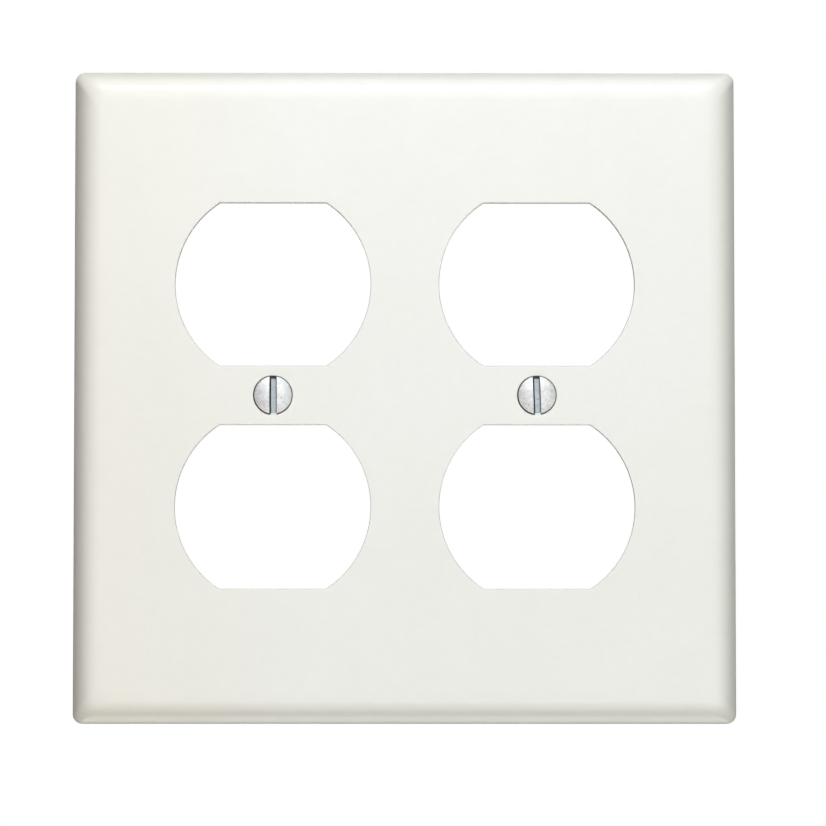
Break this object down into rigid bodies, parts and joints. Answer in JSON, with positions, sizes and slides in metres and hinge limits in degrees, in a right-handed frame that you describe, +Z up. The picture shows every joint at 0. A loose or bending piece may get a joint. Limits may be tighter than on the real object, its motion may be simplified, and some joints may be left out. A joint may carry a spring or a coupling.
{
  "type": "duplex receptacle wall plate",
  "caption": "Flat rectangular cover plate with rolled edges, flat-sided round device openings and slotted oval-head screws; covers duplex receptacles on a wall.",
  "frame": {"origin": "middle of the rim plane that lies against the wall, midway between the two screws", "axes": "+X to the right seen from the front, +Z up, -Y out of the front face, +Y into the wall along the screws"},
  "size_m": [0.116, 0.0135, 0.1142],
  "materials": {
    "plate_plastic": "smooth moulded off-white plastic with a satin gloss",
    "screw_steel": "zinc-plated steel, satin and finely mottled"
  },
  "bodies": {
    "plate": {"cover_plate": "plate_plastic"},
    "left_screw": {"left_screw": "screw_steel"},
    "right_screw": {"right_screw": "screw_steel"}
  },
  "joints": [
    {"name": "left_screw_turn", "type": "hinge", "parent": "plate", "child": "left_screw", "pos_m": [-0.02302, 0, 0], "axis": [0, 1, 0], "continuous": true},
    {"name": "right_screw_turn", "type": "hinge", "parent": "plate", "child": "right_screw", "pos_m": [0.02302, 0, 0], "axis": [0, 1, 0], "continuous": true}
  ]
}
